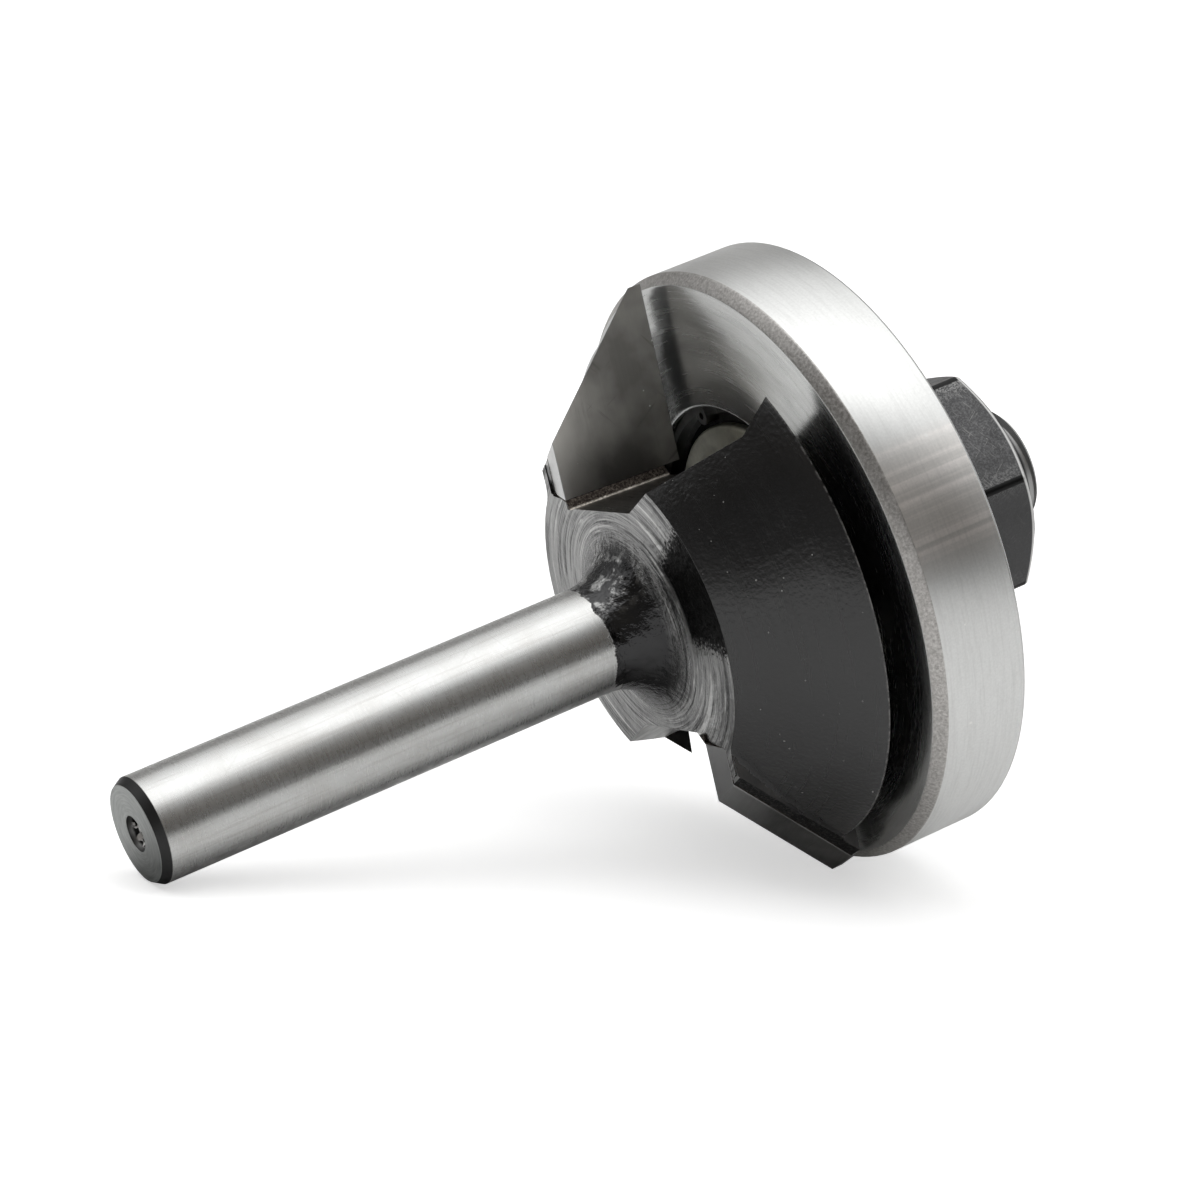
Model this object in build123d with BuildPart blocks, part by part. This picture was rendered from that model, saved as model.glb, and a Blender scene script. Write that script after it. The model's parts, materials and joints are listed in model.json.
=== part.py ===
from build123d import *
from math import acos, atan, cos, degrees, radians, sin, sqrt, tan
import os

# A bevel router bit with a ball-bearing guide collar, lying on its shank end, its collar and one cutting tip.
# Lengths are in millimetres. A station is a distance along the bit's axis from the shank's end face.

# Shank and neck
shank_r = 6.35 / 2
shank_length = 29.45
end_chamfer = 0.53
end_chamfer_inset = 0.32
centre_r = 1.08
centre_pilot_r = 0.5
centre_depth = 2.2
centre_angle = 60
neck_r = 3.4

# Head, a 45 degree cone behind a flat hub, that stays under the tips' cutting circle
head_length = 6.25
bevel_angle = 45
tip_height = 1.89
shoulder_r = 5.6
shoulder_length = 2.7
pilot_r = 3.99
pilot_length = 17.2
pilot_chamfer = 0.65

# Cutting wings
wing_count = 2
cutting_r = 18.0
land_length = 0.8
tip_overhang = 1.02
shear_angle = 6
hook_angle = 14.3
tip_thickness = 1.7
tip_depth = 3.36
tip_clearance_angle = 43.5
land_clearance_angle = 32.3
end_clearance_angle = 10.4
end_proud = 0.18
braze_thickness = 0.1
braze_bead = 0.42
support_inset = 0.05
support_back = 2.45
support_foot_r = 0.6
overhang_depth = 6.5

# Gullet in front of each rake face: its depth in the hub, then distances ahead of the face and outwards
gullet_depth = 3.91
gullet_vertex_ahead = 7.05
gullet_vertex_rise = 1.09
gullet_heel_ahead = 13.36
gullet_heel_rise = 5.38
gullet_wall_lean = 7.5

# Guide collar
collar_r = 18.13
collar_width = 6.07
collar_gap = 1.84
collar_bore_r = 10.06
collar_front_bevel = 0.6
collar_rear_bevel = 0.15
mouth_bevel = 0.18

# Retaining ring in the collar's mouth
ring_inner_r = 9.62
ring_thickness = 0.8
ring_depth = 0.42
ring_play = 0.05
ring_gap_angle = 42
ring_gap_azimuth = 2
lug_r = 0.55
lug_hole_r = 0.22

# Ball bearing
bearing_width = 5.0
race_fit = 0.01
inner_race_r = 5.9
outer_race_inner_r = 8.4
pitch_r = 7.15
ball_r = 1.4
ball_sides = 8
ball_count = 7
ball_play = 0.03
seal_seat_wall = 0.8
seal_thickness = 0.45
seal_recess = 0.1
seal_gap = 0.06
cage_wall = 0.28
cage_thickness = 0.8
cage_play = 0.06

# Washers and nut
thrust_washer_r = 8.7
thrust_washer_thickness = 0.6
thrust_washer_bevel = 0.12
flat_washer_r = 7.6
flat_washer_thickness = 1.0
spring_washer_r = 6.8
spring_washer_thickness = 1.6
spring_washer_split = 0.5
bore_fit = 0.03
nut_across_flats = 13.0
nut_height = 6.5
nut_chamfer_angle = 30
nut_crown_inset = 0.11
nut_countersink = 0.35
nut_turn = 14.9

# Stations along the axis
neck_start = shank_length
hub_face = neck_start + neck_r
hub_r = cutting_r - tip_height - head_length * tan(radians(bevel_angle))
head_rear = hub_face + head_length
shoulder = head_rear + shoulder_length
pilot_end = shoulder + pilot_length
head_r = hub_r + head_length * tan(radians(bevel_angle))
tip_inner_edge = hub_r - tip_depth
overhang_inner_edge = cutting_r - overhang_depth
gullet_floor = hub_r - gullet_depth
tip_rear = head_rear + tip_overhang
bevel_top = tip_rear - land_length
tip_end = hub_face - end_proud
collar_front = head_rear + collar_gap
collar_rear = collar_front + collar_width
bearing_front = shoulder + thrust_washer_thickness
bearing_rear = bearing_front + bearing_width
bearing_mid = (bearing_front + bearing_rear) / 2
flat_washer_rear = bearing_rear + flat_washer_thickness
nut_seat = flat_washer_rear + spring_washer_thickness
nut_top = nut_seat + nut_height

# Lying on a table: the shank's end edge and the collar's front edge both touch it
collar_edge = collar_front + collar_front_bevel
tilt = atan((collar_r - shank_r) / (collar_edge - end_chamfer))
origin_height = shank_r * cos(tilt) - end_chamfer * sin(tilt)
end_face_r = shank_r - end_chamfer_inset
reach_back = -end_face_r * sin(tilt)
reach_ahead = pilot_end * cos(tilt) + (pilot_r - pilot_chamfer) * sin(tilt)
tool = Plane(
    origin=(-(reach_back + reach_ahead) / 2, 0, origin_height),
    x_dir=(-sin(tilt), 0, cos(tilt)),
    z_dir=(cos(tilt), 0, sin(tilt)),
)
axis = Axis(tool.origin, tool.z_dir)

# The axial plane holds each turned profile: x is the station and y the radius
axial = Plane(origin=tool.origin, x_dir=tool.z_dir, z_dir=tool.y_dir)

# The lower wing's tip also touches the table, and that sets how far the head is turned
floor_r_at_tip = shank_r + (bevel_top - end_chamfer) * tan(tilt)
tip_turn = degrees(acos(min(1, floor_r_at_tip / cutting_r)))
rake_turn = 180 - tip_turn - (90 - hook_angle)

# Rake face: its sizes at the top of the bevel, where it is hook_angle off the radius
rake_back = cutting_r * sin(radians(hook_angle))
rake_out = cutting_r * cos(radians(hook_angle))
shear_rise = cos(radians(shear_angle))


def rake_back_at(station):
    return rake_back + (bevel_top - station) * tan(radians(shear_angle))


def out_at(radius, station):
    """Distance out along the rake face of a point at this radius."""
    return sqrt(radius**2 - rake_back_at(station) ** 2)


def along(station):
    """Height on the rake face, from the top of the bevel."""
    return (station - bevel_top) / shear_rise


bevel_foot_r = cutting_r - (bevel_top - tip_end) * tan(radians(bevel_angle))
point_a = (rake_out, 0)
point_b = (out_at(cutting_r, tip_rear), along(tip_rear))
point_c = (tip_inner_edge, along(tip_rear))
point_d = (tip_inner_edge, along(tip_end))
point_e = (out_at(bevel_foot_r, tip_end), along(tip_end))
bevel_run = sqrt((point_a[0] - point_e[0]) ** 2 + (point_a[1] - point_e[1]) ** 2)


class Wing:
    """The planes of one wing, all taken from its rake face."""

    def __init__(self, index):
        turned = Plane(tool.location * Rotation(Z=rake_turn + index * 360 / wing_count))
        behind = turned.x_dir * cos(radians(shear_angle)) + turned.z_dir * sin(radians(shear_angle))
        origin = turned.origin + turned.x_dir * rake_back + turned.z_dir * bevel_top
        # x runs outwards, y up the face and z back into the steel
        self.rake = Plane(origin=origin, x_dir=turned.y_dir, z_dir=behind)
        # x runs back from the face and y outwards, for what is cut along the face
        self.section = Plane(origin=origin, x_dir=behind, z_dir=self.rake.y_dir)
        edge_a = self.rake.from_local_coords(Vector(*point_a, 0))
        edge_b = self.rake.from_local_coords(Vector(*point_b, 0))
        edge_e = self.rake.from_local_coords(Vector(*point_e, 0))
        edge_d = self.rake.from_local_coords(Vector(*point_d, 0))
        back_bevel = turned.x_dir - turned.y_dir * tan(radians(tip_clearance_angle))
        back_land = turned.x_dir - turned.y_dir * tan(radians(land_clearance_angle))
        back_end = turned.x_dir + turned.z_dir * tan(radians(end_clearance_angle))
        bevel_line = edge_a - edge_e
        self.bevel = Plane(origin=edge_a, x_dir=bevel_line, z_dir=bevel_line.cross(back_bevel))
        self.land = Plane(origin=edge_a, x_dir=edge_b - edge_a, z_dir=(edge_b - edge_a).cross(back_land))
        self.end = Plane(origin=edge_d, x_dir=edge_e - edge_d, z_dir=(edge_e - edge_d).cross(back_end))


wings = [Wing(index) for index in range(wing_count)]
beyond = 2 * cutting_r


def floor_out(ahead):
    """Gullet floor, from the foot of the rake face to the vertex."""
    return gullet_floor + gullet_vertex_rise * ahead / gullet_vertex_ahead


def make_block(wing, back, inner_edge):
    """Tall block from a rake face back into the steel, along the whole head."""
    with BuildPart() as block:
        with BuildSketch(wing.section.offset(along(neck_start))):
            with Locations((0, inner_edge)):
                Rectangle(back, beyond - inner_edge, align=(Align.MIN, Align.MIN))
        extrude(amount=along(pilot_end) - along(neck_start))
    return block.part


def make_support(wing, inner_edge, front, rear):
    """Steel behind a carbide tip between two stations, still too tall."""
    with BuildPart() as support:
        add(make_block(wing, support_back, inner_edge))
        split(bisect_by=tool.offset(front), keep=Keep.TOP)
        split(bisect_by=tool.offset(rear), keep=Keep.BOTTOM)
    return support.part


def make_relief(wing):
    """What is ground off a support so that it stays under the bevel and the land of its tip."""
    with BuildPart() as relief:
        for ground in (wing.bevel, wing.land):
            with BuildPart(mode=Mode.PRIVATE) as above:
                add(make_block(wing, support_back + support_foot_r / 4, tip_inner_edge))
                split(bisect_by=ground.offset(-support_inset), keep=Keep.TOP)
            add(above.part)
    return relief.part


def make_gullet(wing):
    """What the milling cutter takes away in front of a rake face."""
    wall_lean = (beyond - gullet_floor - gullet_heel_rise) * tan(radians(gullet_wall_lean))
    with BuildPart() as gullet:
        with BuildSketch(wing.section.offset(along(neck_start))):
            Polygon(
                (0, gullet_floor),
                (-gullet_vertex_ahead, gullet_floor + gullet_vertex_rise),
                (-gullet_heel_ahead, gullet_floor + gullet_heel_rise),
                (-gullet_heel_ahead - wall_lean, beyond),
                (0, beyond),
                align=None,
            )
        extrude(amount=along(shoulder) - along(neck_start))
    return gullet.part


def make_seat(wing):
    """Pocket for a tip and its braze."""
    with BuildPart() as seat:
        with BuildSketch(wing.section.offset(along(neck_start))):
            with Locations((tip_thickness + braze_thickness, tip_inner_edge - braze_thickness)):
                Rectangle(tip_thickness + braze_thickness, beyond, align=(Align.MAX, Align.MIN))
        extrude(amount=along(shoulder) - along(neck_start))
    return seat.part


def make_end_grinding(wing):
    """Sliver of the hub ground away with the end of the tip."""
    with BuildPart() as grinding:
        with BuildSketch(wing.end):
            Rectangle(beyond, support_back, align=(Align.MIN, Align.MIN))
        extrude(amount=end_proud)
    return grinding.part


# Cone with its two supports, made too long at both ends so that the feet blend right through
head_spare = support_foot_r
spare_rise = head_spare * tan(radians(bevel_angle))
with BuildPart() as head:
    with BuildSketch(axial):
        Polygon(
            (hub_face - head_spare, 0),
            (hub_face - head_spare, hub_r - spare_rise),
            (head_rear + head_spare, head_r + spare_rise),
            (head_rear + head_spare, 0),
            align=None,
        )
    revolve(axis=axis)
    for wing in wings:
        add(make_support(wing, 0, hub_face - head_spare, head_rear + head_spare))
    for wing in wings:
        wall = wing.rake.offset(support_back)
        on_wall = head.edges().filter_by(lambda edge: abs(wall.to_local_coords(edge @ 0.5).Z) < 0.01)
        fillet(on_wall.filter_by(GeomType.LINE, reverse=True), support_foot_r)
    split(bisect_by=tool.offset(hub_face), keep=Keep.TOP)
    split(bisect_by=tool.offset(head_rear), keep=Keep.BOTTOM)

overhangs = [make_support(wing, overhang_inner_edge, head_rear, tip_rear) for wing in wings]
cutters = (make_gullet, make_seat, make_end_grinding, make_relief)
cuts = [make(wing) for wing in wings for make in cutters]

# Cutter body: shank and neck, head, shoulder and pilot, then the milled and ground faces
with BuildPart() as cutter_body:
    with BuildSketch(axial):
        with BuildLine():
            Polyline((0, 0), (0, end_face_r), (end_chamfer, shank_r), (neck_start, shank_r))
            CenterArc((neck_start, shank_r + neck_r), neck_r, -90, 90)
            Polyline(
                (hub_face, shank_r + neck_r),
                (head_rear - head_spare, shank_r + neck_r),
                (head_rear - head_spare, shoulder_r),
                (shoulder, shoulder_r),
                (shoulder, pilot_r),
                (pilot_end - pilot_chamfer, pilot_r),
                (pilot_end, pilot_r - pilot_chamfer),
                (pilot_end, 0),
                (0, 0),
            )
        make_face()
    revolve(axis=axis)
    add([head.part] + overhangs)
    for cut in cuts:
        add(cut, mode=Mode.SUBTRACT)
    with Locations(Plane(origin=tool.origin, x_dir=tool.y_dir, z_dir=-tool.z_dir)):
        CounterSinkHole(centre_pilot_r, centre_r, depth=centre_depth, counter_sink_angle=centre_angle)
parts = {"cutter_body": cutter_body.part}

for number, wing in enumerate(wings, 1):
    # Carbide tip: a flat plate with ground bevel, land and end
    with BuildPart() as carbide:
        with BuildSketch(wing.rake):
            Polygon(point_a, point_b, point_c, point_d, point_e, align=None)
        extrude(amount=tip_thickness)
        split(bisect_by=wing.bevel, keep=Keep.BOTTOM)
        split(bisect_by=wing.land, keep=Keep.BOTTOM)
        split(bisect_by=wing.end, keep=Keep.BOTTOM)
    parts[f"carbide_tip_{number}"] = carbide.part

    # Silver solder behind and under the tip, with a bead in the corner of the gullet
    with BuildPart() as braze:
        with BuildSketch(wing.section.offset(along(tip_end))):
            Polygon(
                (0, tip_inner_edge),
                (tip_thickness, tip_inner_edge),
                (tip_thickness, cutting_r),
                (tip_thickness + braze_thickness, cutting_r),
                (tip_thickness + braze_thickness, tip_inner_edge - braze_thickness),
                (0, tip_inner_edge - braze_thickness),
                (0, gullet_floor),
                (-braze_bead, floor_out(braze_bead)),
                align=None,
            )
        extrude(amount=along(tip_rear) - along(tip_end))
        split(bisect_by=tool.offset(head_rear), keep=Keep.BOTTOM)
        with BuildSketch(wing.section.offset(along(tip_end))):
            with Locations((tip_thickness, overhang_inner_edge)):
                Rectangle(braze_thickness, beyond, align=(Align.MIN, Align.MIN))
        extrude(amount=along(pilot_end) - along(tip_end))
        split(bisect_by=tool.offset(tip_rear), keep=Keep.BOTTOM)
        split(bisect_by=wing.bevel.offset(-support_inset), keep=Keep.BOTTOM)
        split(bisect_by=wing.land.offset(-support_inset), keep=Keep.BOTTOM)
        split(bisect_by=wing.end, keep=Keep.BOTTOM)
    parts[f"braze_{number}"] = braze.part

# Thrust washer between the shoulder and the inner race
with BuildPart() as thrust_washer:
    with BuildSketch(tool.offset(shoulder)):
        Circle(thrust_washer_r)
        Circle(pilot_r + bore_fit, mode=Mode.SUBTRACT)
    extrude(amount=thrust_washer_thickness)
    front_face = thrust_washer.faces().filter_by(GeomType.PLANE).sort_by(axis)[0]
    chamfer(front_face.edges().sort_by(SortBy.RADIUS)[-1], thrust_washer_bevel)
parts["thrust_washer"] = thrust_washer.part

# Guide collar, with a groove for the retaining ring inside its mouth
groove_front = bearing_front - ring_thickness - ring_play
groove_r = collar_bore_r + ring_depth + ring_play
with BuildPart() as guide_collar:
    with BuildSketch(axial):
        Polygon(
            (collar_front, collar_bore_r + mouth_bevel),
            (collar_front, collar_r - collar_front_bevel),
            (collar_front + collar_front_bevel, collar_r),
            (collar_rear - collar_rear_bevel, collar_r),
            (collar_rear, collar_r - collar_rear_bevel),
            (collar_rear, collar_bore_r),
            (bearing_front, collar_bore_r),
            (bearing_front, groove_r),
            (groove_front, groove_r),
            (groove_front, collar_bore_r),
            (collar_front + mouth_bevel, collar_bore_r),
            align=None,
        )
    revolve(axis=axis)
parts["guide_collar"] = guide_collar.part

# Retaining ring: open at one place, with a drilled lug at each end
ring_outer_r = collar_bore_r + ring_depth
lug_turn = ring_gap_angle / 2 + degrees(lug_r / ring_inner_r)
lug_azimuths = [ring_gap_azimuth + side * lug_turn for side in (-1, 1)]
with BuildPart() as retaining_ring:
    with BuildSketch(tool.offset(bearing_front - ring_thickness)):
        Circle(ring_outer_r)
        Circle(ring_inner_r, mode=Mode.SUBTRACT)
        with BuildLine(mode=Mode.PRIVATE) as wedge:
            edges = [radians(ring_gap_azimuth + side * ring_gap_angle / 2) for side in (-1, 1)]
            rim = [(beyond * cos(edge), beyond * sin(edge)) for edge in edges]
            Polyline((0, 0), rim[0], rim[1], (0, 0))
        make_face(wedge.edges(), mode=Mode.SUBTRACT)
        for azimuth in lug_azimuths:
            with PolarLocations(ring_inner_r - lug_r / 4, 1, start_angle=azimuth):
                Circle(lug_r)
                Circle(lug_hole_r, mode=Mode.SUBTRACT)
        Circle(ring_outer_r, mode=Mode.INTERSECT)
    extrude(amount=ring_thickness)
parts["retaining_ring"] = retaining_ring.part

# Bearing races, with a ball track each and a step for the seals. A ball's profile has ball_sides
# flats that touch its true circle, and the tracks have the same ones a little further out.
seal_outer_r = collar_bore_r - race_fit - seal_seat_wall
track_r = ball_r + ball_play
flat_turn = 180 / ball_sides
with BuildPart() as outer_race:
    with BuildSketch(axial):
        Polygon(
            (bearing_front, collar_bore_r - race_fit),
            (bearing_rear, collar_bore_r - race_fit),
            (bearing_rear, seal_outer_r),
            (bearing_rear - seal_recess - seal_thickness, seal_outer_r),
            (bearing_rear - seal_recess - seal_thickness, outer_race_inner_r),
            (bearing_front + seal_recess + seal_thickness, outer_race_inner_r),
            (bearing_front + seal_recess + seal_thickness, seal_outer_r),
            (bearing_front, seal_outer_r),
            align=None,
        )
        with Locations((bearing_mid, pitch_r)):
            RegularPolygon(
                track_r, ball_sides, major_radius=False, rotation=flat_turn, mode=Mode.SUBTRACT
            )
    revolve(axis=axis)
parts["bearing_outer_race"] = outer_race.part

with BuildPart() as inner_race:
    with BuildSketch(axial):
        with Locations((bearing_mid, (pilot_r + race_fit + inner_race_r) / 2)):
            Rectangle(bearing_width, inner_race_r - pilot_r - race_fit)
        with Locations((bearing_mid, pitch_r)):
            RegularPolygon(
                track_r, ball_sides, major_radius=False, rotation=flat_turn, mode=Mode.SUBTRACT
            )
    revolve(axis=axis)
parts["bearing_inner_race"] = inner_race.part

ball_centre = axial.from_local_coords(Vector(bearing_mid, pitch_r, 0))
with BuildPart() as ball:
    with BuildSketch(axial):
        with Locations((bearing_mid, pitch_r)):
            RegularPolygon(ball_r, ball_sides, major_radius=False, rotation=flat_turn)
            Rectangle(4 * ball_r, 4 * ball_r, align=(Align.CENTER, Align.MIN), mode=Mode.INTERSECT)
    revolve(axis=Axis(ball_centre, tool.z_dir))
for number in range(ball_count):
    parts[f"bearing_ball_{number + 1}"] = ball.part.rotate(axis, number * 360 / ball_count)

# Crown cage, with a round pocket for each ball that opens towards the head
pocket_r = ball_r / cos(radians(flat_turn)) + cage_play
with BuildPart(tool.offset(bearing_mid)) as cage:
    with BuildSketch(tool.offset(bearing_mid - ball_r / 2)):
        Circle(pitch_r + cage_thickness / 2)
        Circle(pitch_r - cage_thickness / 2, mode=Mode.SUBTRACT)
    extrude(amount=ball_r / 2 + pocket_r + cage_wall)
    with PolarLocations(pitch_r, ball_count):
        Cylinder(pocket_r, 2 * cage_thickness, rotation=(0, 90, 0), mode=Mode.SUBTRACT)
parts["bearing_cage"] = cage.part

# Rubber seals, pressed in the outer race and just clear of the inner one
for name, front in (
    ("seal_front", bearing_front + seal_recess),
    ("seal_rear", bearing_rear - seal_recess - seal_thickness),
):
    with BuildPart() as seal:
        with BuildSketch(tool.offset(front)):
            Circle(seal_outer_r)
            Circle(inner_race_r + seal_gap, mode=Mode.SUBTRACT)
        extrude(amount=seal_thickness)
    parts[name] = seal.part

# Flat washer and split spring washer under the nut
with BuildPart() as flat_washer:
    with BuildSketch(tool.offset(bearing_rear)):
        Circle(flat_washer_r)
        Circle(pilot_r + bore_fit, mode=Mode.SUBTRACT)
    extrude(amount=flat_washer_thickness)
parts["flat_washer"] = flat_washer.part

with BuildPart() as spring_washer:
    with BuildSketch(tool.offset(flat_washer_rear)):
        Circle(spring_washer_r)
        Circle(pilot_r + bore_fit, mode=Mode.SUBTRACT)
    extrude(amount=spring_washer_thickness)
    split_slope = spring_washer_thickness / 2
    with BuildSketch(Plane(origin=tool.origin, x_dir=tool.z_dir, z_dir=tool.x_dir)):
        Polygon(
            (flat_washer_rear, -split_slope),
            (nut_seat, split_slope),
            (nut_seat, split_slope + spring_washer_split),
            (flat_washer_rear, spring_washer_split - split_slope),
            align=None,
        )
    extrude(amount=spring_washer_r + bore_fit, mode=Mode.SUBTRACT)
parts["spring_washer"] = spring_washer.part

# Hexagon nut, chamfered at both ends
nut_corner_r = nut_across_flats / 2 / cos(radians(30))
crown_r = nut_across_flats / 2 - nut_crown_inset
crown_drop = (nut_corner_r - crown_r) * tan(radians(nut_chamfer_angle))
nut_bore_r = pilot_r + bore_fit
with BuildPart() as lock_nut:
    with BuildSketch(tool.offset(nut_seat)):
        RegularPolygon(nut_corner_r, 6, rotation=nut_turn)
    extrude(amount=nut_height)
    with BuildSketch(axial):
        Polygon(
            (nut_seat, nut_bore_r + nut_countersink),
            (nut_seat, crown_r),
            (nut_seat + crown_drop, nut_corner_r),
            (nut_top - crown_drop, nut_corner_r),
            (nut_top, crown_r),
            (nut_top, nut_bore_r + nut_countersink),
            (nut_top - nut_countersink, nut_bore_r),
            (nut_seat + nut_countersink, nut_bore_r),
            align=None,
        )
    revolve(axis=axis, mode=Mode.INTERSECT)
parts["lock_nut"] = lock_nut.part

os.makedirs("parts", exist_ok=True)
for name, part in parts.items():
    part.label = name
    export_step(part, f"parts/{name}.step")
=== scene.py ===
import json
import math

import bpy
from bpy.props import FloatProperty, FloatVectorProperty, IntProperty, PointerProperty
from mathutils import Matrix, Vector

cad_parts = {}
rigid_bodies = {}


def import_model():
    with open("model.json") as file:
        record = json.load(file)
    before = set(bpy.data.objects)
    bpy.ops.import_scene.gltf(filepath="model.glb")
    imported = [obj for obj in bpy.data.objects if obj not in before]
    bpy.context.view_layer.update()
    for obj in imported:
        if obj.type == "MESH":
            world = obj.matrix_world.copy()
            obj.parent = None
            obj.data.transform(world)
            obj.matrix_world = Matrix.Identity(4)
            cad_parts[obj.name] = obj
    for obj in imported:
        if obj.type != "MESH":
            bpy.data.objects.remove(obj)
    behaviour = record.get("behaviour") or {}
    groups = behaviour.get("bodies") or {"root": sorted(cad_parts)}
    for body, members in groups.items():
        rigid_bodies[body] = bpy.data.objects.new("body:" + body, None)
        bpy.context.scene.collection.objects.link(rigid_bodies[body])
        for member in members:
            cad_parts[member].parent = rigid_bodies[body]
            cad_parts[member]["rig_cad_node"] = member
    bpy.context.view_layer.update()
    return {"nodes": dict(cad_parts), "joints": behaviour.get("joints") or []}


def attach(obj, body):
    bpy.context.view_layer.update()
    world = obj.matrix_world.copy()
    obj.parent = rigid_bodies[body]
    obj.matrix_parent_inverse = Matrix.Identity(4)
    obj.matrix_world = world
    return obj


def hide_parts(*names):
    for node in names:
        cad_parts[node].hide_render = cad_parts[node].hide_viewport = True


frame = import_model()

bl_info = {
    "name": "Router Bit",
    "version": (1, 0, 0),
    "blender": (4, 5, 0),
    "location": "3D View > Sidebar > Router Bit",
    "description": "Dresses a bevel router bit with its finishes, its threaded stud and a plain studio",
    "category": "Object",
}

MM = 0.001

# The bit's own axis, from the shank's end face towards the nut. A station is a distance along it in millimetres.
collar_joint = next(joint for joint in frame["joints"] if joint["name"] == "collar_spin")
JOINT_STATION = 44.9
AXIS = Vector(collar_joint["axis"]).normalized()
SHANK_END = Vector(collar_joint["pos_m"]) - AXIS * JOINT_STATION * MM
UP = Vector((-AXIS.z, 0.0, AXIS.x))
SIDE = AXIS.cross(UP)
BIT = Matrix.Translation(SHANK_END) @ Matrix((UP, SIDE, AXIS)).transposed().to_4x4()

# Stations and radii of the cutter body
END_CHAMFER = 0.53
# Radius where the darker grey rim round the centre hole ends, on the shank's end face
CENTRE_RIM_R = 1.06
HUB_FACE = 32.85
HUB_R = 9.86
HEAD_REAR = 39.1
CONE_R = HUB_R + HEAD_REAR - HUB_FACE
TIP_REAR = 40.12
BEVEL_TOP = 39.32
TIP_END = 32.67
CUTTING_R = 18.0
SHOULDER = 41.8
NUT_SEAT = 50.0
NUT_TOP = 56.5
# Where the threaded piece takes over from the cutter body, inside the nut
THREAD_START = NUT_SEAT + 2
PILOT_END = 59.0
PILOT_R = 3.99
PILOT_CHAMFER = 0.65

# Radius up to which the nut's top is flat, radius from which its corners are dull black, slope of its chamfer,
# and the station that the chamfer's cone reaches on the axis
NUT_TOP_R = 6.39
NUT_CORNER_R = 7.36
NUT_SLOPE = math.tan(math.radians(30))
CROWN_RISE = NUT_TOP + NUT_TOP_R * NUT_SLOPE


def side_at(degrees):
    """Direction straight out from the bit's axis, this far round from its upper side."""
    turn = math.radians(degrees)
    return (math.cos(turn), math.sin(turn), 0.0)


UPPER_SIDE = (1, 0, 0)
# Sector of the hub face painted dull black as a dark reflection
DARK_REFLECTION_SIDE = side_at(66)
DARK_REFLECTION_COSINE = math.cos(math.radians(23))
# Side of the collar's rim that shows painted warm reflection bands
REFLECTION_BAND_SIDE = side_at(67)

# Wings: turn of the first rake face, shear, place of the cutting corner, clearances and solder bead
RAKE_TURN = 88.51
SHEAR = math.radians(6)
CORNER_TURN = math.radians(14.3)
RAKE_BACK = CUTTING_R * math.sin(CORNER_TURN)
RAKE_OUT = CUTTING_R * math.cos(CORNER_TURN)
BEVEL_CLEARANCE = math.tan(math.radians(43.5))
LAND_CLEARANCE = math.tan(math.radians(32.3))
END_CLEARANCE = math.tan(math.radians(10.4))
BEAD = 0.42
# Cosine between two normals from which they belong to one ground face
SAME_FACE = 0.9995

# Camera at the photograph's angle, in metres and degrees, and the stage turned to face it
CAMERA_PLACE = (-0.14367691, -0.23120614, 0.07039165)
CAMERA_ANGLES = (78.51542, -5.60511, -30.79221)
STAGE_TURN = math.radians(-30.8)
# Floor and backdrop, in metres
FLOOR_SIZE = 6.0
NEAR_BACK = FLOOR_SIZE / 2 - 0.1
BACKDROP_RISE = 3.0
BACKDROP_CURVE = 1.0
FLOOR_COLOR = (0.9, 0.9, 0.9)
# Light by height: 0 is the horizon behind the camera, 0.5 overhead and 1 the horizon behind the bit
LIGHT_STOPS = (
    (0.0, 0.1), (0.14, (0.1, 0.094, 0.088)), (0.22, (0.12, 0.11, 0.1)), (0.29, 0.18), (0.34, 0.42),
    (0.4, 1.0), (0.52, 1.0), (0.6, 0.74), (0.68, 0.54), (0.78, 0.4), (0.88, 0.35), (1.0, 0.55),
)
LIGHT_STRENGTH = 1.75


class Wing:
    """Directions and planes of one wing, in the scene's own frame."""

    def __init__(self, index):
        turn = math.radians(RAKE_TURN + 180 * index)
        back = UP * math.cos(turn) + SIDE * math.sin(turn)
        out = SIDE * math.cos(turn) - UP * math.sin(turn)
        self.out = out
        self.behind = back * math.cos(SHEAR) + AXIS * math.sin(SHEAR)
        self.face_up = self.behind.cross(out)
        self.origin = SHANK_END + (back * RAKE_BACK + AXIS * BEVEL_TOP) * MM
        foot_r = CUTTING_R - (BEVEL_TOP - TIP_END)
        foot_rise = (TIP_END - BEVEL_TOP) / math.cos(SHEAR)
        foot_back = RAKE_BACK + (BEVEL_TOP - TIP_END) * math.tan(SHEAR)
        rear_rise = (TIP_REAR - BEVEL_TOP) / math.cos(SHEAR)
        rear_back = RAKE_BACK + (BEVEL_TOP - TIP_REAR) * math.tan(SHEAR)
        self.top = self.at(RAKE_OUT, 0)
        self.rear = self.at(math.sqrt(CUTTING_R**2 - rear_back**2), rear_rise)
        self.foot = self.at(math.sqrt(foot_r**2 - foot_back**2), foot_rise)
        bevel_line = self.top - self.foot
        self.bevel_normal = bevel_line.cross(back - out * BEVEL_CLEARANCE).normalized()
        self.land_normal = (self.rear - self.top).cross(back - out * LAND_CLEARANCE).normalized()
        self.end_normal = out.cross(back + AXIS * END_CLEARANCE).normalized()
        self.flank_normal = (out * 0.81 + back * 0.58).normalized()

    def at(self, outwards, rise):
        """Point on the rake face, from sizes in millimetres."""
        return self.origin + (self.out * outwards + self.face_up * rise) * MM


WINGS = [Wing(0), Wing(1)]


# Selecting and finishing pieces


def select_only(*objects):
    """Leaves just these objects selected, the first one active."""
    bpy.ops.object.select_all(action="DESELECT")
    for item in objects:
        item.select_set(True)
    bpy.context.view_layer.objects.active = objects[0]


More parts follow.
